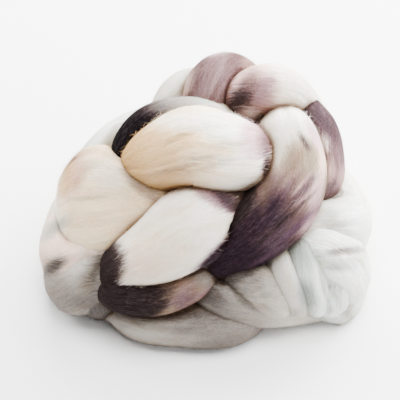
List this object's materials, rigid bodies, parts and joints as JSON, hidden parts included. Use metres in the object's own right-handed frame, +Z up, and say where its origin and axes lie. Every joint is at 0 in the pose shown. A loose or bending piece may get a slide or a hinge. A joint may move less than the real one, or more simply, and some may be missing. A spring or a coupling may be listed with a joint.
{
  "type": "wool roving",
  "caption": "Soft heap of hand-dyed combed wool roving, plaited in fat loose loops over its own slack turns, pressed flat underneath by its weight.",
  "frame": {"origin": "the middle of the base of the bounding box, on the surface that the bundle lies on", "axes": "+Z up; +X along the bundle's longest side, to the right of somebody who faces the plait; +Y away from them"},
  "size_m": [0.204, 0.1704, 0.124],
  "materials": {
    "wool": "undyed cream wool with soft patches of grey, mauve, plum and near-black dye, matt, with a fine halo of loose fibres"
  },
  "bodies": {
    "root": {"roving": "wool"}
  },
  "joints": []
}
